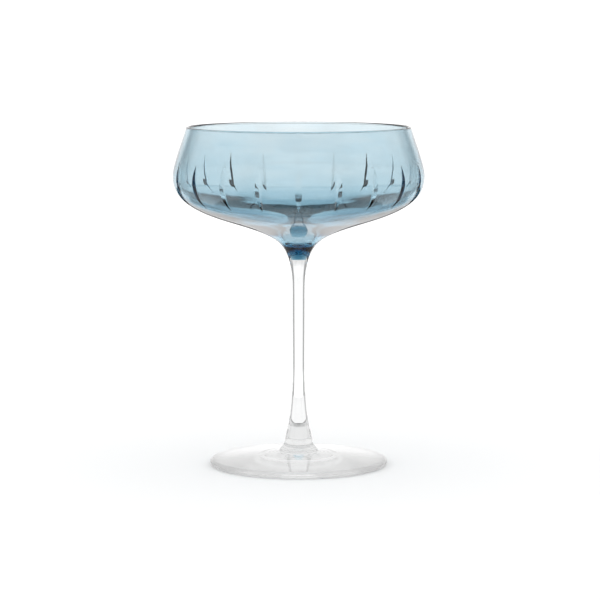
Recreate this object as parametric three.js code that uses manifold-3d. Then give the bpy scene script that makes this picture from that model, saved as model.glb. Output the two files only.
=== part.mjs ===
// A stemmed cocktail glass: a broad cut bowl of cased glass on a drawn stem and a round foot.
// Millimetres, +Z up. The glass stands on z = 0 and its axis is the Z axis.
import * as THREE from 'three';
import { mergeVertices } from 'three/addons/utils/BufferGeometryUtils.js';
import Module from 'manifold-3d';

const wasm = await Module();
wasm.setup();

const DEGREE = Math.PI / 180;

// Overall sizes.
const HEIGHT = 151.2;
const RIM_RADIUS = 49.8;
const BELLY_RADIUS = 55.8;
const BELLY_HEIGHT = 129.2;
const SHOULDER_RADIUS = 32.3;
const SHOULDER_HEIGHT = 109.4;
const NECK_RADIUS = 8.9;
const NECK_HEIGHT = 99.8;
const WAIST_RADIUS = 2.75;
const WAIST_HEIGHT = 72;
const FOOT_RADIUS = 39.5;

// Thickness of the bowl wall, and of its clear outer layer, at the rim, belly, shoulder and neck.
const WALL = [1.5, 2.1, 2.3, 2.9];
const CLEAR_LAYER = [1.05, 1.5, 0.7, 1.9];
const CAVITY_FLOOR = 99.3;

// The joint of bowl and stem is a low dome that bulges up into the coloured glass.
const BOWL_JOINT_SHARE = 0.38;
const BOWL_JOINT_RISE = 0.9;
const CORE_RADIUS = 2.2;
const LAYER_BOW = new THREE.Vector2(0.5, 0.2);

// Where the coloured layer comes to the surface, over the top of the lip towards the inside.
const LAYER_LIP_ANGLE = 105;

// The joint of stem and foot sags a little towards the foot.
const FOOT_JOINT_HEIGHT = 17.6;
const FOOT_JOINT_RADIUS = 4.75;
const FOOT_JOINT_SAG = 0.9;

// The foot: a flat ring to stand on, round a shallow ground hollow.
const FOOT_EDGE = 3.0;
const FOOT_CROWN = 6.0;
const RING_OUTER_RADIUS = 37.6;
const HOLLOW_RADIUS = 17.5;
const HOLLOW_FLOOR_RADIUS = 15.5;
const HOLLOW_DEPTH = 0.8;

// The collar on the foot: a thin flange that sweeps up into the stem's seat.
const COLLAR_RADIUS = 8.6;
const COLLAR_HEIGHT = 6.8;
const COLLAR_TOP_RADIUS = 8.0;
const COLLAR_TOP_HEIGHT = 7.7;
const COLLAR_NECK_RADIUS = 6.2;
const COLLAR_NECK_HEIGHT = 10.8;
const COLLAR_TOE = 0.7;

// The wheel-cut flutes, evenly spaced round the belly.
const CUT_COUNT = 20;
const CUT_START = 15.2;
const CUT_LENGTH = 21.4;
const CUT_DEPTH = 0.75;
const CUT_FLANK_ANGLE = 63 * DEGREE;
const CUT_STEPS = 8;
const CUTTER_REACH = 5;
const CUTTER_BEVEL = 1.6;

// Facets round the axis.
const ROUND = 60;

// A station is a point of a meridian curve with the direction the curve runs there
// and the length of its handle before and after.
function station(radius, height, heading, before, after) {
  return { point: new THREE.Vector2(radius, height), heading: heading * DEGREE, before, after };
}

const BOWL = [
  station(RIM_RADIUS, HEIGHT - WALL[0] / 2, -75, 0, 5.7),
  station(BELLY_RADIUS, BELLY_HEIGHT, -90, 5.2, 10.3),
  station(SHOULDER_RADIUS, SHOULDER_HEIGHT, -162.4, 15.2, 9.3),
  station(NECK_RADIUS, NECK_HEIGHT, -137.5, 6, 0),
];
const FLARE_TOP = station(NECK_RADIUS, NECK_HEIGHT, -137.5, 0, 8.5);
const WAIST = station(WAIST_RADIUS, WAIST_HEIGHT, -90, 12.5, 24);
const FLARE_BOTTOM = station(FOOT_JOINT_RADIUS, FOOT_JOINT_HEIGHT, -78, 14, 0);

const COLLAR_FOOT = station(COLLAR_RADIUS + COLLAR_TOE, FOOT_CROWN, 180, 0, 0.4);
const COLLAR = station(COLLAR_RADIUS, COLLAR_HEIGHT, 90, 0.4, 0.4);
const COLLAR_TOP = station(COLLAR_TOP_RADIUS, COLLAR_TOP_HEIGHT, 132, 0.4, 1);
const COLLAR_NECK = station(COLLAR_NECK_RADIUS, COLLAR_NECK_HEIGHT, 98, 1.6, 2.5);
const SEAT_EDGE = station(FOOT_JOINT_RADIUS, FOOT_JOINT_HEIGHT, 102, 2, 0);

// The inner wall runs out level into the cavity's floor.
const CAVITY_NECK = { ...inward(BOWL[3], WALL[3]), after: 2.6 };
const CAVITY_CENTRE = station(0, CAVITY_FLOOR, 180, 3.6, 0);

// Facets along each stretch of the bowl wall, and of the small curves.
const BOWL_STEPS = [2, 6, 3];
const CAVITY_FLOOR_STEPS = 3;
const FLARE_STEPS = 3;
const COLLAR_STEPS = 2;
const FOOT_EDGE_STEPS = 5;
const CASING_LIP_STEPS = 3;
const LINING_LIP_STEPS = 2;
const JOINT_STEPS = 3;
const SEAT_STEPS = 2;
const STEM_UPPER_STEPS = 4;
const STEM_LOWER_STEPS = 5;

// Points nearer than this are one point.
const SAME_POINT = 1e-4;

// The rim of the foot turns this far before it meets the sloping top.
const FOOT_EDGE_TURN = 160;

function inward(place, distance) {
  const normal = new THREE.Vector2(Math.sin(place.heading), -Math.cos(place.heading));
  return { ...place, point: place.point.clone().addScaledVector(normal, distance) };
}

function bend(from, to, stretch = 1) {
  const leaving = new THREE.Vector2(Math.cos(from.heading), Math.sin(from.heading));
  const arriving = new THREE.Vector2(Math.cos(to.heading), Math.sin(to.heading));
  return new THREE.CubicBezierCurve(
    from.point,
    from.point.clone().addScaledVector(leaving, from.after * stretch),
    to.point.clone().addScaledVector(arriving, -to.before * stretch),
    to.point,
  );
}

// The bowl's meridian from the rim down to the neck, moved into the glass by the given depths.
function bowlMeridian(depths) {
  const places = BOWL.map((place, index) => inward(place, depths[index]));
  const points = [places[0].point];
  for (let index = 1; index < places.length; index += 1) {
    const span = places[index].point.distanceTo(places[index - 1].point);
    const outerSpan = BOWL[index].point.distanceTo(BOWL[index - 1].point);
    const curve = bend(places[index - 1], places[index], span / outerSpan);
    points.push(...curve.getPoints(BOWL_STEPS[index - 1]).slice(1));
  }
  return points;
}

function curvePoints(curve, from, to, steps) {
  const points = [];
  for (let step = 0; step <= steps; step += 1) {
    points.push(curve.getPoint(from + ((to - from) * step) / steps));
  }
  return points;
}

// A shallow bulge from the axis out to an edge point, higher on the axis by `rise`.
function cap(edge, rise, steps) {
  const points = [];
  for (let step = 0; step <= steps; step += 1) {
    const share = step / steps;
    points.push(new THREE.Vector2(edge.x * share, edge.y + rise * (1 - share * share)));
  }
  return points;
}

// The rounded lip, a half circle from the outer wall over to the inner wall.
function lipPoint(angle) {
  const outer = BOWL[0];
  const middle = inward(outer, WALL[0] / 2).point;
  const lean = outer.heading + 90 * DEGREE;
  return new THREE.Vector2(
    middle.x + (WALL[0] / 2) * Math.cos(lean + angle),
    middle.y + (WALL[0] / 2) * Math.sin(lean + angle),
  );
}

function lip(from, to, steps) {
  const points = [];
  for (let step = 0; step <= steps; step += 1) {
    points.push(lipPoint((from + ((to - from) * step) / steps) * DEGREE));
  }
  return points;
}

// A closed body turned from a profile that runs bottom, outside, top, inside.
function turned(profile) {
  const geometry = new THREE.LatheGeometry(profile, ROUND);
  geometry.rotateX(90 * DEGREE);
  return sewn(geometry);
}

// Joins the seam and the points on the axis, and drops the triangles that vanish there.
function sewn(geometry) {
  geometry.deleteAttribute('normal');
  geometry.deleteAttribute('uv');
  const merged = mergeVertices(geometry, SAME_POINT);
  const index = merged.getIndex().array;
  const kept = [];
  for (let at = 0; at < index.length; at += 3) {
    const [a, b, c] = [index[at], index[at + 1], index[at + 2]];
    if (a !== b && b !== c && c !== a) {
      kept.push(a, b, c);
    }
  }
  merged.setIndex(kept);
  return merged;
}

function toManifold(geometry) {
  return new wasm.Manifold(new wasm.Mesh({
    numProp: 3,
    vertProperties: new Float32Array(geometry.getAttribute('position').array),
    triVerts: new Uint32Array(geometry.getIndex().array),
  }));
}

function fromManifold(manifold) {
  const mesh = manifold.getMesh();
  const geometry = new THREE.BufferGeometry();
  geometry.setAttribute('position', new THREE.BufferAttribute(mesh.vertProperties, 3));
  geometry.setIndex(new THREE.BufferAttribute(mesh.triVerts, 1));
  return geometry;
}

// Where the bowl, its coloured core and the stem meet.
const flareCurve = bend(FLARE_TOP, WAIST);
const jointEdge = flareCurve.getPoint(BOWL_JOINT_SHARE);
const jointCap = cap(jointEdge, BOWL_JOINT_RISE, JOINT_STEPS);
const coreShare = CORE_RADIUS / jointEdge.x;
const coreEdge = new THREE.Vector2(
  CORE_RADIUS,
  jointEdge.y + BOWL_JOINT_RISE * (1 - coreShare * coreShare),
);
const coreCap = jointCap.filter((point) => point.x < CORE_RADIUS).concat(coreEdge);

// The face shared by the coloured and the clear layer, from the core up to the lip. Below the
// neck it hangs in a slight bow down to the core's edge.
function layerFace() {
  const face = bowlMeridian(CLEAR_LAYER);
  const middle = face[face.length - 1].clone().lerp(coreEdge, 0.5).sub(LAYER_BOW);
  return [lipPoint(LAYER_LIP_ANGLE * DEGREE), ...face, middle, coreEdge].reverse();
}

function bowlLining() {
  return turned([
    ...coreCap.slice(0, -1),
    ...layerFace(),
    ...lip(LAYER_LIP_ANGLE, 180, LINING_LIP_STEPS).slice(1, -1),
    ...bowlMeridian(WALL),
    ...bend(CAVITY_NECK, CAVITY_CENTRE).getPoints(CAVITY_FLOOR_STEPS).slice(1),
  ]);
}

function bowlCasing() {
  const outside = [
    ...curvePoints(flareCurve, BOWL_JOINT_SHARE, 0, FLARE_STEPS),
    ...bowlMeridian([0, 0, 0, 0]).reverse().slice(1),
  ];
  const face = layerFace().reverse();
  const body = turned([
    ...outside,
    ...lip(0, LAYER_LIP_ANGLE, CASING_LIP_STEPS).slice(1, -1),
    ...face,
    ...jointCap.filter((point) => point.x > CORE_RADIUS),
  ]);
  let casing = toManifold(body);
  for (let cut = 0; cut < CUT_COUNT; cut += 1) {
    casing = casing.subtract(toManifold(cutter(cut * (360 / CUT_COUNT) * DEGREE)));
  }
  return fromManifold(casing);
}

// The bottom line of a flute: it follows the wall, touches the surface at both ends and is
// deepest in the middle.
function cutLine() {
  const wall = new THREE.CurvePath();
  wall.add(bend(BOWL[0], BOWL[1]));
  wall.add(bend(BOWL[1], BOWL[2]));
  const points = [];
  for (let step = 0; step <= CUT_STEPS; step += 1) {
    const share = step / CUT_STEPS;
    const along = (CUT_START + CUT_LENGTH * share) / wall.getLength();
    const heading = wall.getTangentAt(along).angle();
    const place = { point: wall.getPointAt(along), heading };
    points.push(inward(place, CUT_DEPTH * Math.sin(Math.PI * share)).point);
  }
  return points;
}

// A plate standing in a plane through the glass axis, with a V edge along the flute's bottom line.
function cutter(turn) {
  const line = cutLine();
  const outside = BELLY_RADIUS + CUTTER_REACH;
  const plate = new THREE.Shape([
    ...line,
    new THREE.Vector2(outside, line[line.length - 1].y - CUTTER_REACH),
    new THREE.Vector2(outside, line[0].y + CUTTER_REACH),
  ]);
  const geometry = new THREE.ExtrudeGeometry(plate, {
    depth: 0,
    bevelSegments: 1,
    bevelSize: CUTTER_BEVEL,
    bevelOffset: -CUTTER_BEVEL,
    bevelThickness: CUTTER_BEVEL * Math.tan(CUT_FLANK_ANGLE),
  });
  geometry.rotateX(90 * DEGREE);
  geometry.rotateZ(turn - 90 * DEGREE);
  return sewn(geometry);
}

function stem() {
  const lower = bend(WAIST, FLARE_BOTTOM).getPoints(STEM_LOWER_STEPS).reverse();
  const upper = curvePoints(flareCurve, 1, BOWL_JOINT_SHARE, STEM_UPPER_STEPS).slice(1, -1);
  const seat = cap(FLARE_BOTTOM.point, -FOOT_JOINT_SAG, SEAT_STEPS);
  return turned([...seat.slice(0, -1), ...lower, ...upper, ...jointCap.slice().reverse()]);
}

// The foot's rounded rim, from the flat ring up to the sloping top.
function footEdge() {
  const reach = FOOT_RADIUS - RING_OUTER_RADIUS;
  const halfEdge = FOOT_EDGE / 2;
  const points = [];
  for (let step = 0; step <= FOOT_EDGE_STEPS; step += 1) {
    const angle = (-90 + (FOOT_EDGE_TURN * step) / FOOT_EDGE_STEPS) * DEGREE;
    points.push(new THREE.Vector2(
      RING_OUTER_RADIUS + reach * Math.cos(angle),
      halfEdge + halfEdge * Math.sin(angle),
    ));
  }
  return points;
}

function foot() {
  const stations = [COLLAR_FOOT, COLLAR, COLLAR_TOP, COLLAR_NECK, SEAT_EDGE];
  const collar = stations.slice(1).flatMap((place, index) => (
    bend(stations[index], place).getPoints(COLLAR_STEPS).slice(1)
  ));
  return turned([
    new THREE.Vector2(0, HOLLOW_DEPTH),
    new THREE.Vector2(HOLLOW_FLOOR_RADIUS, HOLLOW_DEPTH),
    new THREE.Vector2(HOLLOW_RADIUS, 0),
    ...footEdge(),
    COLLAR_FOOT.point,
    ...collar,
    ...cap(FLARE_BOTTOM.point, -FOOT_JOINT_SAG, SEAT_STEPS).reverse().slice(1),
  ]);
}

function clearGlass() {
  return new THREE.MeshStandardMaterial({
    color: 0xf2f4f5,
    roughness: 0.03,
    metalness: 0,
    transparent: true,
    opacity: 0.35,
  });
}

function blueGlass() {
  return new THREE.MeshStandardMaterial({
    color: 0x8fb9cc,
    roughness: 0.03,
    metalness: 0,
    transparent: true,
    opacity: 0.6,
  });
}

function piece(name, geometry, material) {
  const mesh = new THREE.Mesh(geometry, material);
  mesh.name = name;
  return mesh;
}

const glass = new THREE.Group();
glass.name = 'cocktail_glass';
glass.add(piece('bowl_lining', bowlLining(), blueGlass()));
glass.add(piece('bowl_casing', bowlCasing(), clearGlass()));
glass.add(piece('stem', stem(), clearGlass()));
glass.add(piece('foot', foot(), clearGlass()));

export default glass;
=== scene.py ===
"""A stemmed cocktail glass: a blue cased bowl with cut flutes, a drawn stem and a round foot."""

import math

import bpy
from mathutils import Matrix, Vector


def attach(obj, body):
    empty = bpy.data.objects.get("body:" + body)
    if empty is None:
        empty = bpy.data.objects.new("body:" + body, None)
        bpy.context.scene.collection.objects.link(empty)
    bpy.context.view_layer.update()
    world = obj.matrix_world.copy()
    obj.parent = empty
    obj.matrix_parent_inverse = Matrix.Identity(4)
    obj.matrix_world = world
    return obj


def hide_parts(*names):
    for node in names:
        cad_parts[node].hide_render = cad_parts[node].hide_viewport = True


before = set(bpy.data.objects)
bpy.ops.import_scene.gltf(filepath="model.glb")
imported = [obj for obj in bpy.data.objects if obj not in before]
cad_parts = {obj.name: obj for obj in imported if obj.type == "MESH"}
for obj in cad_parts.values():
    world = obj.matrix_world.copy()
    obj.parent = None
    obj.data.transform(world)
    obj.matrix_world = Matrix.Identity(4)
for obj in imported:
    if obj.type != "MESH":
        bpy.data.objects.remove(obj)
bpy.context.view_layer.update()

MM = 0.001
DEGREE = math.pi / 180


# ---------------------------------------------------------------- shape, in millimetres

HEIGHT = 151.2
WALL = (1.5, 2.1, 2.3, 2.9)
CLEAR_LAYER = (1.05, 1.5, 0.7, 1.9)
LAYER_GAP = 0.02
CAVITY_FLOOR = 99.3
# Handles of the curves that end the two layers: out of the neck, and in to the core and the floor.
NECK_HANDLE = 2.6
CORE_HANDLE = Vector((0.5, 2.2))
FLOOR_HANDLE = 3.6

# Stations of the bowl's meridian: radius, height, heading, handle before, handle after.
RIM = (49.8, HEIGHT - WALL[0] / 2, -75.0, 0.0, 5.7)
BELLY = (55.8, 129.2, -90.0, 5.2, 10.3)
SHOULDER = (32.3, 109.4, -162.4, 15.2, 9.3)
NECK = (8.9, 99.8, -137.5, 6.0, 8.5)
BOWL = (RIM, BELLY, SHOULDER, NECK)
WAIST = (2.75, 72.0, -90.0, 12.5, 24.0)
FOOT_JOINT = (4.75, 17.6, -78.0, 14.0, 0.0)

BOWL_JOINT_SHARE = 0.38
BOWL_JOINT_RISE = 0.9
CORE_RADIUS = 2.2
FOOT_JOINT_SAG = 0.9

FOOT_RADIUS = 39.5
FOOT_EDGE = 3.0
FOOT_CROWN = 6.0
FOOT_EDGE_TURN = 160
RING_OUTER_RADIUS = 37.6
HOLLOW_RADIUS = 17.5
HOLLOW_FLOOR_RADIUS = 15.5
HOLLOW_DEPTH = 0.8

# Stations of the collar on the foot, from the foot's top up to the stem's seat.
COLLAR_FOOT = (9.3, FOOT_CROWN, 180.0, 0.0, 0.4)
COLLAR = (8.6, 6.8, 90.0, 0.4, 0.4)
COLLAR_TOP = (8.0, 7.7, 132.0, 0.4, 1.0)
COLLAR_NECK = (6.2, 10.8, 98.0, 1.6, 2.5)
SEAT_EDGE = (FOOT_JOINT[0], FOOT_JOINT[1], 102.0, 2.0, 0.0)
COLLAR_LINE = (COLLAR_FOOT, COLLAR, COLLAR_TOP, COLLAR_NECK, SEAT_EDGE)

CUT_COUNT = 20
CUT_START = 15.2
CUT_LENGTH = 21.4
CUT_DEPTH = 0.75
CUT_FLANK = math.tan(63 * DEGREE)
SECTOR = 2 * math.pi / CUT_COUNT

# How finely the meshes follow the shape: points round the axis, lengths of the steps along a
# profile, and numbers of steps.
ROUND = 240
LAYER_STEP = 0.8
CASING_STEP = 0.5
FLARE_STEP = 0.7
STEM_STEP = 0.8
FOOT_TOP_STEP = 0.9
FOOT_UNDER_STEP = 2.0
HOLLOW_SLOPE_STEP = 0.5
CURVE_STEPS = 200
FLARE_STEPS = 60
STEM_STEPS = 90
LAYER_END_STEPS = 10
CAVITY_FLOOR_STEPS = 14
LINING_LIP_STEPS = 10
CASING_LIP_STEPS = 12
JOINT_STEPS = 24
SEAT_STEPS = 14
FOOT_EDGE_STEPS = 16
COLLAR_STEPS = 8
# The joint's rows keep this far from the edges of the core and of the neck.
CORE_MARGIN = 0.1
JOINT_MARGIN = 0.05


# ---------------------------------------------------------------- curves

def direction(heading):
    return Vector((math.cos(heading * DEGREE), math.sin(heading * DEGREE)))


def inward(place, distance):
    radius, height, heading, before, after = place
    return (radius + math.sin(heading * DEGREE) * distance,
            height - math.cos(heading * DEGREE) * distance, heading, before, after)


def bend(start, end, stretch=1.0):
    """The four control points of a curve from one station to the next."""
    a = Vector(start[:2])
    b = Vector(end[:2])
    return (a, a + direction(start[2]) * start[4] * stretch,
            b - direction(end[2]) * end[3] * stretch, b)


def on_curve(curve, share):
    a, b, c, d = curve
    rest = 1 - share
    return (a * rest ** 3 + b * 3 * rest * rest * share
            + c * 3 * rest * share * share + d * share ** 3)


def curve_points(curve, count, first=0.0, last=1.0):
    return [on_curve(curve, first + (last - first) * i / count) for i in range(count + 1)]


def span(a, b):
    return math.hypot(a[0] - b[0], a[1] - b[1])


def bowl_curves(depths):
    places = [inward(place, depth) for place, depth in zip(BOWL, depths)]
    return [bend(places[i], places[i + 1],
                 span(places[i], places[i + 1]) / span(BOWL[i], BOWL[i + 1]))
            for i in range(len(BOWL) - 1)]


SAME_POINT = 1e-9


def evenly(points, step):
    """The same line with points an equal distance apart."""
    lengths = [0.0]
    for a, b in zip(points, points[1:]):
        lengths.append(lengths[-1] + (b - a).length)
    count = max(2, round(lengths[-1] / step))
    result = []
    at = 0
    for i in range(count + 1):
        want = lengths[-1] * i / count
        while at < len(points) - 2 and lengths[at + 1] < want:
            at += 1
        share = (want - lengths[at]) / max(lengths[at + 1] - lengths[at], SAME_POINT)
        result.append(points[at].lerp(points[at + 1], min(max(share, 0.0), 1.0)))
    return result


def bowl_line(depths, step):
    points = []
    for curve in bowl_curves(depths):
        points += curve_points(curve, CURVE_STEPS)[1 if points else 0:]
    return evenly(points, step)


def cap(edge, rise, count):
    return [Vector((edge.x * i / count, edge.y + rise * (1 - (i / count) ** 2)))
            for i in range(count + 1)]


def lip(first, last, count, radius):
    """Part of the rounded lip; 0 is the outer wall and 180 the inner wall."""
    middle = Vector(inward(RIM, WALL[0] / 2)[:2])
    lean = (RIM[2] + 90) * DEGREE
    points = []
    for i in range(count + 1):
        angle = (first + (last - first) * i / count) * DEGREE + lean
        points.append(middle + Vector((math.cos(angle), math.sin(angle))) * radius)
    return points


FLARE = bend(NECK, WAIST)
JOINT_EDGE = on_curve(FLARE, BOWL_JOINT_SHARE)
LAYER_LIP_ANGLE = 105.0


def core_edge():
    share = CORE_RADIUS / JOINT_EDGE.x
    return Vector((CORE_RADIUS, JOINT_EDGE.y + BOWL_JOINT_RISE * (1 - share * share)))


def layer_line(gap):
    """The face between the blue and the clear layer, from the lip down to the core's edge."""
    depths = [depth + gap for depth in CLEAR_LAYER]
    line = bowl_line(depths, LAYER_STEP)
    edge = core_edge() - Vector((gap, 0))
    neck = line[-1]
    heading = (line[-1] - line[-2]).normalized()
    curve = (neck, neck + heading * NECK_HANDLE, edge + CORE_HANDLE, edge)
    return line + curve_points(curve, LAYER_END_STEPS)[1:]


# ---------------------------------------------------------------- meshes

def mesh_object(name, vertices, faces, slots, sharp=()):
    mesh = bpy.data.meshes.new(name)
    mesh.from_pydata(vertices, [], faces)
    for polygon, slot in zip(mesh.polygons, slots):
        polygon.material_index = slot
        polygon.use_smooth = True
    if sharp:
        wanted = {tuple(sorted(edge)) for edge in sharp}
        for edge in mesh.edges:
            if tuple(sorted(edge.vertices)) in wanted:
                edge.use_edge_sharp = True
    mesh.validate()
    mesh.update()
    item = bpy.data.objects.new(name, mesh)
    bpy.context.scene.collection.objects.link(item)
    return item


class Turned:
    """Collects rows of vertices, turned round the axis, and joins each row to the next."""

    def __init__(self, angles):
        self.angles = angles
        self.vertices = []
        self.faces = []
        self.slots = []
        self.sharp = []
        self.rows = []

    def row(self, points):
        """Adds a ring of (radius, height, turn) points, or one point on the axis."""
        first = len(self.vertices)
        for radius, height, turn in points:
            self.vertices.append((radius * math.sin(turn), -radius * math.cos(turn), height))
        self.rows.append(range(first, len(self.vertices)))

    def ring(self, point):
        if point.x < SAME_POINT:
            self.row([(0.0, point.y, 0.0)])
        else:
            self.row([(point.x, point.y, turn) for turn in self.angles])

    def join(self, lower, upper, slot):
        low = self.rows[lower]
        high = self.rows[upper]
        count = len(self.angles)
        for i in range(count):
            j = (i + 1) % count
            if len(low) == 1:
                face = (low[0], high[j], high[i])
            elif len(high) == 1:
                face = (low[i], low[j], high[0])
            else:
                face = (low[i], low[j], high[j], high[i])
            self.faces.append(face)
            self.slots.append(slot)

    def extend(self, points, slot):
        """Adds a ring for each point and joins it to the one before."""
        for point in points:
            self.ring(point)
            self.join(-2, -1, slot)

    def crease(self, row):
        """Makes an edge sharp all round, unless the row is a point on the axis."""
        ring = self.rows[row]
        count = len(ring)
        if count > 1:
            self.sharp += [(ring[i], ring[(i + 1) % count]) for i in range(count)]

    def crease_upward(self, columns):
        """Makes the edges between the last two rows sharp at these columns."""
        self.sharp += [(self.rows[-2][i], self.rows[-1][i]) for i in columns]

    def build(self, name):
        vertices = [(x * MM, y * MM, z * MM) for x, y, z in self.vertices]
        return mesh_object(name, vertices, self.faces, self.slots, self.sharp)


def turned(name, stretches):
    """A closed body from stretches of its profile, bottom, outside, top, inside.
    Each stretch is (points, slot); stretches share their end points and meet in a crease."""
    body = Turned([2 * math.pi * i / ROUND for i in range(ROUND)])
    body.ring(stretches[0][0][0])
    for points, slot in stretches:
        body.crease(-1)
        body.extend(points[1:], slot)
    return body.build(name)


GLASS_SLOT = 0
INNER_SLOT = 1


def build_lining():
    joint = cap(JOINT_EDGE, BOWL_JOINT_RISE, JOINT_STEPS)
    core = [point for point in joint if point.x < CORE_RADIUS - CORE_MARGIN]
    edge = core_edge() - Vector((LAYER_GAP, 0))
    layer = layer_line(LAYER_GAP)[::-1]
    lip_line = lip(LAYER_LIP_ANGLE, 180, LINING_LIP_STEPS, WALL[0] / 2)
    layer[0] = edge
    layer.append(lip_line[0])
    cavity = bowl_line(WALL, LAYER_STEP)
    neck = cavity[-1]
    heading = (cavity[-1] - cavity[-2]).normalized()
    floor = (neck, neck + heading * NECK_HANDLE, Vector((FLOOR_HANDLE, CAVITY_FLOOR)),
             Vector((0, CAVITY_FLOOR)))
    inside = lip_line + cavity[1:] + curve_points(floor, CAVITY_FLOOR_STEPS)[1:]
    return turned("bowl_lining_blue", [
        (core + [edge], INNER_SLOT),
        (layer, INNER_SLOT),
        (inside, GLASS_SLOT),
    ])


def cut_depth(along):
    share = (along - CUT_START) / CUT_LENGTH
    return CUT_DEPTH * math.sin(math.pi * share) if 0 < share < 1 else 0.0


CUT_COLUMNS = (0.0, 0.5, 1.0)
CUT_EDGE = len(CUT_COLUMNS) - 1
PLAIN_COLUMNS = 5
LEAST_HALF_WIDTH = 0.12
CREASE_DEPTH = 0.02


def cut_turns(half_width, radius):
    """Turns across one cut, from halfway to the cut before it to halfway to the next."""
    half = max(half_width, LEAST_HALF_WIDTH) / radius
    turns = [half * share for share in CUT_COLUMNS]
    for i in range(1, PLAIN_COLUMNS + 1):
        turns.append(half + (SECTOR / 2 - half) * i / PLAIN_COLUMNS)
    return [-turn for turn in turns[-2:0:-1]] + turns


def cut_row(point, inside_way, depth):
    """One row round the casing, which dips into each cut."""
    row = []
    for k in range(CUT_COUNT):
        for turn in cut_turns(depth * CUT_FLANK, point.x):
            dip = max(0.0, depth - abs(turn) * point.x / CUT_FLANK)
            place = point + inside_way * dip
            row.append((place.x, place.y, k * SECTOR + turn))
    return row


def casing_wall():
    """The outer wall, from the neck up, as (point, direction into the glass, depth of cut)."""
    wall = bowl_line((0, 0, 0, 0), CASING_STEP)
    along = 0.0
    rows = []
    for i, point in enumerate(wall):
        before = wall[max(i - 1, 0)]
        after = wall[min(i + 1, len(wall) - 1)]
        along += (point - before).length
        heading = (after - before).normalized()
        rows.append((point, Vector((heading.y, -heading.x)), cut_depth(along)))
    return rows[::-1]


def build_casing():
    across = cut_turns(0, BELLY[0])
    middle = across.index(0.0)
    middles = [k * len(across) + middle for k in range(CUT_COUNT)]
    body = Turned([k * SECTOR + turn for k in range(CUT_COUNT) for turn in across])
    flare = evenly(curve_points(FLARE, FLARE_STEPS, BOWL_JOINT_SHARE, 0.0), FLARE_STEP)
    body.ring(flare[0])
    body.extend(flare[1:], GLASS_SLOT)
    body.crease(0)
    for point, inside_way, depth in casing_wall()[1:]:
        body.row(cut_row(point, inside_way, depth))
        body.join(-2, -1, GLASS_SLOT)
        if depth > CREASE_DEPTH:
            for column in (-CUT_EDGE, 0, CUT_EDGE):
                body.crease_upward([at + column for at in middles])
    body.extend(lip(0, LAYER_LIP_ANGLE, CASING_LIP_STEPS, WALL[0] / 2)[1:], GLASS_SLOT)
    body.crease(-1)
    body.extend(layer_line(0.0), INNER_SLOT)
    body.crease(-1)
    body.extend([point for point in cap(JOINT_EDGE, BOWL_JOINT_RISE, JOINT_STEPS)
                 if CORE_RADIUS + CORE_MARGIN < point.x < JOINT_EDGE.x - JOINT_MARGIN], INNER_SLOT)
    body.join(-1, 0, INNER_SLOT)
    return body.build("bowl_casing_clear")


def build_stem():
    seat = cap(Vector(FOOT_JOINT[:2]), -FOOT_JOINT_SAG, SEAT_STEPS)
    lower = curve_points(bend(WAIST, FOOT_JOINT), STEM_STEPS)[::-1]
    upper = curve_points(FLARE, FLARE_STEPS, 1.0, BOWL_JOINT_SHARE)
    top = cap(JOINT_EDGE, BOWL_JOINT_RISE, SEAT_STEPS)[::-1]
    return turned("stem_drawn", [
        (seat, INNER_SLOT),
        (evenly(lower, STEM_STEP) + evenly(upper, STEM_STEP)[1:], GLASS_SLOT),
        (top, INNER_SLOT),
    ])


def foot_edge():
    """The rounded edge of the foot, from the standing ring out and up to the sloping top."""
    half = FOOT_EDGE / 2
    reach = FOOT_RADIUS - RING_OUTER_RADIUS
    edge = []
    for i in range(FOOT_EDGE_STEPS + 1):
        angle = (-90 + FOOT_EDGE_TURN * i / FOOT_EDGE_STEPS) * DEGREE
        edge.append(Vector((RING_OUTER_RADIUS + reach * math.cos(angle),
                            half + half * math.sin(angle))))
    return edge


def build_foot():
    edge = foot_edge()
    top = evenly([edge[-1], Vector(COLLAR_FOOT[:2])], FOOT_TOP_STEP)
    collar = [top[-1]]
    for start, end in zip(COLLAR_LINE, COLLAR_LINE[1:]):
        collar += curve_points(bend(start, end), COLLAR_STEPS)[1:]
    seat = cap(Vector(FOOT_JOINT[:2]), -FOOT_JOINT_SAG, SEAT_STEPS)[::-1]
    hollow = evenly([Vector((0, HOLLOW_DEPTH)), Vector((HOLLOW_FLOOR_RADIUS, HOLLOW_DEPTH))],
                    FOOT_UNDER_STEP)
    slope = evenly([hollow[-1], Vector((HOLLOW_RADIUS, 0))], HOLLOW_SLOPE_STEP)
    ring = evenly([slope[-1], edge[0]], FOOT_UNDER_STEP)
    return turned("foot_disc", [
        (hollow, GLASS_SLOT),
        (slope, GLASS_SLOT),
        (ring, GLASS_SLOT),
        (edge + top[1:], GLASS_SLOT),
        (collar, GLASS_SLOT),
        (seat, INNER_SLOT),
    ])


# ---------------------------------------------------------------- materials

# How strongly a metre of the blue glass absorbs red, green and blue.
BLUE_LOSS = (485, 275, 195)
CLEAR_COLOUR = (0.93, 0.935, 0.935)
GLASS_IOR = 1.5
FUSED_IOR = 1.0
WHITE = (1, 1, 1)
STREAK_COLOUR = (0.93, 0.965, 0.98)

# Patch sizes and relief heights in millimetres, and how far patches are stretched along each axis.
STREAK_SIZE = 7.0
STREAK_STRETCH = (3, 3, 0.8)
LINING_WAVE = 14.0
LINING_RELIEF = 0.02
CASING_WAVE = 11.0
CASING_STRETCH = (1, 1, 0.6)
CASING_RELIEF = 0.02
DRAW_LINE_WIDTH = 1.6
DRAW_LINE_STRETCH = (1, 1, 20)
DRAW_LINE_RELIEF = 0.006
FOOT_WAVE = 9.0
FOOT_RELIEF = 0.05
SCRATCH_SIZE = 0.7
TOOL_RING_SPACING = 1.7
TOOL_RING_RELIEF = 0.03
TOOL_RING_WAVER = 1.2
TOOL_RING_WAVER_SCALE = 0.4
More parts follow.
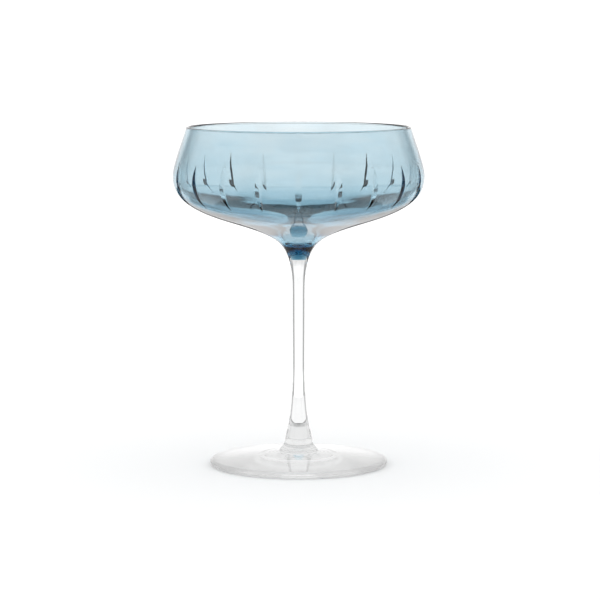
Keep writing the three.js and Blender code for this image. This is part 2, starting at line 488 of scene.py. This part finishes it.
# At a scale of 1 the rings of a wave texture are 2 pi / 20 of a metre apart.
TOOL_RING_SCALE = 2 * math.pi / 20 / (TOOL_RING_SPACING * MM)
# Strength of the tool rings by distance from the axis, and roughness by height, in metres.
TOOL_RING_FADE = ((0.009, 1), (0.013, 0.5), (0.021, 0))
WEAR_FADE = ((0.0, 0.3), (0.0002, 0))


def new_material(name):
    material = bpy.data.materials.new(name)
    material.use_nodes = True
    tree = material.node_tree
    tree.nodes.clear()
    output = tree.nodes.new("ShaderNodeOutputMaterial")
    return material, tree, output


def glass_material(name, colour=WHITE, ior=GLASS_IOR):
    material, tree, output = new_material(name)
    shader = tree.nodes.new("ShaderNodeBsdfPrincipled")
    shader.inputs["Base Color"].default_value = (*colour, 1)
    shader.inputs["Roughness"].default_value = 0.0
    shader.inputs["IOR"].default_value = ior
    shader.inputs["Transmission Weight"].default_value = 1.0
    tree.links.new(shader.outputs["BSDF"], output.inputs["Surface"])
    return material


def blue_material(name):
    """Glass that colours light more the farther it travels inside. Light goes straight on through
    the faces marked as fused."""
    material = glass_material(name)
    tree = material.node_tree
    volume = tree.nodes.new("ShaderNodeVolumeAbsorption")
    most = max(BLUE_LOSS)
    volume.inputs["Density"].default_value = most
    volume.inputs["Color"].default_value = (*[1 - loss / most for loss in BLUE_LOSS], 1)
    tree.links.new(volume.outputs[0], tree.nodes["Material Output"].inputs["Volume"])
    mark = tree.nodes.new("ShaderNodeAttribute")
    mark.attribute_name = "fused"
    bend_light = tree.nodes.new("ShaderNodeMapRange")
    bend_light.inputs["To Min"].default_value = GLASS_IOR
    bend_light.inputs["To Max"].default_value = FUSED_IOR
    tree.links.new(mark.outputs["Fac"], bend_light.inputs["Value"])
    tree.links.new(bend_light.outputs[0], tree.nodes["Principled BSDF"].inputs["IOR"])
    return material


def mark_fused(item):
    """Puts a whole piece in its first slot and marks the faces that were in the second."""
    mesh = item.data
    mark = mesh.attributes.new("fused", "FLOAT", "FACE")
    for polygon in mesh.polygons:
        mark.data[polygon.index].value = polygon.material_index
        polygon.material_index = 0


def ramp_colour(tree, value, stops):
    """A colour that changes with a value; stops are (value, colour)."""
    scale = tree.nodes.new("ShaderNodeMapRange")
    ramp = tree.nodes.new("ShaderNodeValToRGB")
    tree.links.new(value, scale.inputs["Value"])
    low, high = stops[0][0], stops[-1][0]
    scale.inputs["From Min"].default_value = low
    scale.inputs["From Max"].default_value = high
    tree.links.new(scale.outputs[0], ramp.inputs[0])
    points = ramp.color_ramp.elements
    while len(points) < len(stops):
        points.new(0.5)
    for point, (place, colour) in zip(points, stops):
        point.position = (place - low) / (high - low)
        point.color = (*colour, 1)
    return ramp.outputs[0]


def grey_ramp(tree, value, stops):
    return ramp_colour(tree, value, [(place, (grey, grey, grey)) for place, grey in stops])


def patches(tree, size, stretch=(1, 1, 1)):
    """Smooth noise over a piece, with patches this many millimetres across times the stretch."""
    coordinate = tree.nodes.new("ShaderNodeTexCoord")
    mapping = tree.nodes.new("ShaderNodeMapping")
    noise = tree.nodes.new("ShaderNodeTexNoise")
    mapping.inputs["Scale"].default_value = [1 / (size * MM * axis) for axis in stretch]
    noise.inputs["Scale"].default_value = 1.0
    tree.links.new(coordinate.outputs["Object"], mapping.inputs["Vector"])
    tree.links.new(mapping.outputs[0], noise.inputs["Vector"])
    return noise.outputs["Fac"]


def maths(tree, operation, a, b=None):
    """One step of arithmetic on sockets or plain numbers."""
    node = tree.nodes.new("ShaderNodeMath")
    node.operation = operation
    for socket, value in zip(node.inputs, (a, b)):
        if isinstance(value, (int, float)):
            socket.default_value = value
        elif value is not None:
            tree.links.new(value, socket)
    return node.outputs[0]


def relief(material, value, height):
    """Adds a relief of this many millimetres to whatever relief the material has."""
    tree = material.node_tree
    normal = tree.nodes["Principled BSDF"].inputs["Normal"]
    bump = tree.nodes.new("ShaderNodeBump")
    bump.inputs["Distance"].default_value = height * MM
    tree.links.new(value, bump.inputs["Height"])
    if normal.is_linked:
        tree.links.new(normal.links[0].from_socket, bump.inputs["Normal"])
    tree.links.new(bump.outputs[0], normal)


def place_on_glass(tree):
    """The distance from the axis and the height, in metres."""
    geometry = tree.nodes.new("ShaderNodeNewGeometry")
    split = tree.nodes.new("ShaderNodeSeparateXYZ")
    flat = tree.nodes.new("ShaderNodeCombineXYZ")
    length = tree.nodes.new("ShaderNodeVectorMath")
    length.operation = "LENGTH"
    tree.links.new(geometry.outputs["Position"], split.inputs[0])
    tree.links.new(split.outputs["X"], flat.inputs["X"])
    tree.links.new(split.outputs["Y"], flat.inputs["Y"])
    tree.links.new(flat.outputs[0], length.inputs[0])
    return length.outputs["Value"], split.outputs["Z"]


def streak_colour(material):
    """Faint streaks along the blown wall, where the colour lies a little thicker."""
    tree = material.node_tree
    streaks = patches(tree, STREAK_SIZE, STREAK_STRETCH)
    colour = ramp_colour(tree, streaks, ((0.3, WHITE), (0.7, STREAK_COLOUR)))
    tree.links.new(colour, tree.nodes["Principled BSDF"].inputs["Base Color"])


def tool_marks(material):
    """Rings left by the tool that flattened the foot, fading out from the collar."""
    tree = material.node_tree
    radius, _ = place_on_glass(tree)
    rings = tree.nodes.new("ShaderNodeTexWave")
    rings.wave_type = "RINGS"
    rings.rings_direction = "Z"
    rings.inputs["Scale"].default_value = TOOL_RING_SCALE
    rings.inputs["Distortion"].default_value = TOOL_RING_WAVER
    rings.inputs["Detail Scale"].default_value = TOOL_RING_WAVER_SCALE
    coordinate = tree.nodes.new("ShaderNodeTexCoord")
    tree.links.new(coordinate.outputs["Object"], rings.inputs["Vector"])
    fade = grey_ramp(tree, radius, TOOL_RING_FADE)
    relief(material, maths(tree, "MULTIPLY", rings.outputs["Fac"], fade), TOOL_RING_RELIEF)


def table_wear(material):
    """Fine scratches that dull the ring on which the foot stands."""
    tree = material.node_tree
    _, height = place_on_glass(tree)
    on_ring = grey_ramp(tree, height, WEAR_FADE)
    dull = maths(tree, "MULTIPLY", on_ring, patches(tree, SCRATCH_SIZE))
    tree.links.new(dull, tree.nodes["Principled BSDF"].inputs["Roughness"])


# ---------------------------------------------------------------- pieces

lining = build_lining()
casing = build_casing()
stem = build_stem()
foot = build_foot()

mark_fused(lining)

blue_glass = blue_material("blue_glass")
casing_glass = glass_material("casing_glass", CLEAR_COLOUR)
stem_glass = glass_material("stem_glass", CLEAR_COLOUR)
foot_glass = glass_material("foot_glass", CLEAR_COLOUR)
fused = glass_material("fused_joint", ior=FUSED_IOR)

streak_colour(blue_glass)
relief(blue_glass, patches(blue_glass.node_tree, LINING_WAVE), LINING_RELIEF)
relief(casing_glass, patches(casing_glass.node_tree, CASING_WAVE, CASING_STRETCH), CASING_RELIEF)
relief(stem_glass, patches(stem_glass.node_tree, DRAW_LINE_WIDTH, DRAW_LINE_STRETCH),
       DRAW_LINE_RELIEF)
relief(foot_glass, patches(foot_glass.node_tree, FOOT_WAVE), FOOT_RELIEF)
tool_marks(foot_glass)
table_wear(foot_glass)

for item, node, slot, materials in (
    (lining, "bowl_lining", "blue_glass", [blue_glass]),
    (casing, "bowl_casing", "casing_glass", [casing_glass, fused]),
    (stem, "stem", "stem_glass", [stem_glass, fused]),
    (foot, "foot", "foot_glass", [foot_glass, fused]),
):
    for material in materials:
        item.data.materials.append(material)
    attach(item, "root")
    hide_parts(node)


# ---------------------------------------------------------------- floor, light, camera

# Sizes from here on are in metres. The floor and the lights lie one just under the other, a
# hundredth of a millimetre or so below the foot.
FLOOR_RADIUS = 0.75
FLOOR_HEIGHT = -0.02 * MM
FLOOR_COLOUR = 0.9
PLAIN_LIGHT = 1.18

# The glass shows a light table in place of the floor. Its brightness by distance from the glass:
# under the foot and just in front, and farther out, where only this much is left at the corners.
TABLE_HEIGHT = -0.01 * MM
FOOT_FADE = ((0.0, 0.92), (0.034, 0.96), (0.039, 0.6), (0.044, 0.45), (0.05, 0.1),
             (0.275, 0.1))
TABLE_FADE = ((0.0, 0.0), (0.12, 0.0), (0.135, 1.3), (0.2, 1.3), (0.275, 1.1))
TABLE_CORNER = 0.3
# Two sheets lie on the table, between these distances: a bright one behind the glass and a dimmer
# one round the back and the sides, so that the table is dark only in front.
SHEET_INNER = 0.048
SHEET_OUTER = 0.13
REFLECTOR_SPAN = (50, 130)
REFLECTOR_HEIGHT = -0.005 * MM
REFLECTOR_LIGHT = 1.05
FILL_SPAN = (-50, 230)
FILL_HEIGHT = -0.007 * MM
FILL_LIGHT = 0.6

# Four light panels stand round the glass, seen only in it. Their brightness by degrees above the
# horizon, and that of the corners between them.
PANEL_HALF_ANGLE = 33.0
PANEL_SOFT_EDGE = 5.0
PANEL_FADE = ((-45, 0.05), (-25, 1.0), (-19, 1.15), (-14.8, 1.1), (-14.3, 0), (-10.2, 0),
              (-9.6, 1.1), (5, 1.1), (9, 0.9), (35, 0.82), (90, 1.2))
CORNER_FADE = ((-60, 0.75), (-20, 0.75), (-14, 0.4), (-8, 0.33), (10, 0.33), (25, 0.8),
               (90, 0.8))

CAMERA_PLACE = (0.0006, -1.17285, 0.20583)
CAMERA_DOWN = 0.1120255
CAMERA_LENS = 159.08
CAMERA_SENSOR = 36

DISC_CORNERS = 96
SHEET_STEPS = 24
LIGHT_BOUNCES = 96


def flat_object(name, corners, material):
    item = mesh_object(name, corners, [tuple(range(len(corners)))], [0])
    item.data.materials.append(material)
    return item


def diffuse(name, value):
    material, tree, output = new_material(name)
    shader = tree.nodes.new("ShaderNodeBsdfDiffuse")
    shader.inputs["Color"].default_value = (value, value, value, 1)
    tree.links.new(shader.outputs[0], output.inputs["Surface"])
    return material


def disc(name, radius, height, material):
    turns = [2 * math.pi * i / DISC_CORNERS for i in range(DISC_CORNERS)]
    corners = [(radius * math.cos(turn), radius * math.sin(turn), height) for turn in turns]
    return flat_object(name, corners, material)


def sheet(name, first, last, height, light):
    """A glowing sheet, part of a flat ring between two turns in degrees; 90 is behind the glass."""
    turns = [(first + (last - first) * i / SHEET_STEPS) * DEGREE for i in range(SHEET_STEPS + 1)]
    corners = []
    for radius, way in (SHEET_OUTER, turns), (SHEET_INNER, turns[::-1]):
        corners += [(radius * math.cos(turn), radius * math.sin(turn), height) for turn in way]
    return flat_object(name, corners, emission(name + "_light", light))


def emission(name, strength):
    material, tree, output = new_material(name)
    light = tree.nodes.new("ShaderNodeEmission")
    light.inputs["Strength"].default_value = strength
    tree.links.new(light.outputs[0], output.inputs["Surface"])
    return material


def in_panel(tree, direction):
    """1 towards each of the four panels and 0 towards the corners between them."""
    split = tree.nodes.new("ShaderNodeSeparateXYZ")
    tree.links.new(direction, split.inputs[0])
    x = maths(tree, "ABSOLUTE", split.outputs["X"])
    y = maths(tree, "ABSOLUTE", split.outputs["Y"])
    turn = maths(tree, "ARCTAN2", maths(tree, "MINIMUM", x, y), maths(tree, "MAXIMUM", x, y))
    side = maths(tree, "DIVIDE", turn, DEGREE)
    return grey_ramp(tree, side, ((PANEL_HALF_ANGLE - PANEL_SOFT_EDGE, 1),
                                  (PANEL_HALF_ANGLE + PANEL_SOFT_EDGE, 0)))


def build_floor():
    """A wide pale floor, and the light table with its sheets that the glass shows instead."""
    floor = disc("floor", FLOOR_RADIUS, FLOOR_HEIGHT, diffuse("pale_floor", FLOOR_COLOUR))
    floor.visible_glossy = False
    floor.visible_transmission = False
    light_table = emission("light_table", 1.0)
    tree = light_table.node_tree
    radius, _ = place_on_glass(tree)
    geometry = tree.nodes.new("ShaderNodeNewGeometry")
    towards = in_panel(tree, geometry.outputs["Position"])
    share = maths(tree, "MAXIMUM", towards, TABLE_CORNER)
    far = maths(tree, "MULTIPLY", grey_ramp(tree, radius, TABLE_FADE), share)
    strength = maths(tree, "ADD", grey_ramp(tree, radius, FOOT_FADE), far)
    tree.links.new(strength, tree.nodes["Emission"].inputs["Strength"])
    table = disc("table", TABLE_FADE[-1][0], TABLE_HEIGHT, light_table)
    reflector = sheet("reflector", *REFLECTOR_SPAN, REFLECTOR_HEIGHT, REFLECTOR_LIGHT)
    fill = sheet("fill", *FILL_SPAN, FILL_HEIGHT, FILL_LIGHT)
    for item in (table, reflector, fill):
        item.visible_camera = False
        item.visible_diffuse = False
        item.visible_shadow = False


def build_world():
    """Even white light for the floor and the background. The glass shows a pattern instead: a
    bright panel on each of four sides, crossed by a dark strip, and dimmer corners between."""
    world = bpy.data.worlds.new("studio")
    bpy.context.scene.world = world
    world.use_nodes = True
    world.cycles.sampling_method = "NONE"
    tree = world.node_tree
    tree.nodes.clear()
    output = tree.nodes.new("ShaderNodeOutputWorld")
    plain = tree.nodes.new("ShaderNodeBackground")
    plain.inputs["Color"].default_value = (*WHITE, 1)
    plain.inputs["Strength"].default_value = PLAIN_LIGHT
    studio = tree.nodes.new("ShaderNodeBackground")
    studio.inputs["Color"].default_value = (*WHITE, 1)
    mix = tree.nodes.new("ShaderNodeMixShader")
    path = tree.nodes.new("ShaderNodeLightPath")
    tree.links.new(studio.outputs[0], mix.inputs[1])
    tree.links.new(plain.outputs[0], mix.inputs[2])
    tree.links.new(mix.outputs[0], output.inputs["Surface"])
    coordinate = tree.nodes.new("ShaderNodeTexCoord")
    split = tree.nodes.new("ShaderNodeSeparateXYZ")
    tree.links.new(coordinate.outputs["Generated"], split.inputs[0])
    outside = maths(tree, "MAXIMUM", path.outputs["Is Camera Ray"], path.outputs["Diffuse Depth"])
    tree.links.new(maths(tree, "MINIMUM", outside, 1), mix.inputs[0])
    height = maths(tree, "DIVIDE", maths(tree, "ARCSINE", split.outputs["Z"]), DEGREE)
    towards = in_panel(tree, coordinate.outputs["Generated"])
    panel = maths(tree, "MULTIPLY", towards, grey_ramp(tree, height, PANEL_FADE))
    between = maths(tree, "SUBTRACT", 1, towards)
    corner = maths(tree, "MULTIPLY", between, grey_ramp(tree, height, CORNER_FADE))
    tree.links.new(maths(tree, "ADD", panel, corner), studio.inputs["Strength"])


def build_camera():
    data = bpy.data.cameras.new("camera")
    data.lens = CAMERA_LENS
    data.sensor_width = CAMERA_SENSOR
    camera = bpy.data.objects.new("camera", data)
    bpy.context.scene.collection.objects.link(camera)
    camera.location = CAMERA_PLACE
    camera.rotation_euler = (math.pi / 2 - CAMERA_DOWN, 0, 0)
    bpy.context.scene.camera = camera


build_floor()
build_world()
build_camera()

scene = bpy.context.scene
scene.view_settings.view_transform = "Standard"
scene.cycles.max_bounces = LIGHT_BOUNCES
scene.cycles.transmission_bounces = LIGHT_BOUNCES
scene.cycles.glossy_bounces = LIGHT_BOUNCES
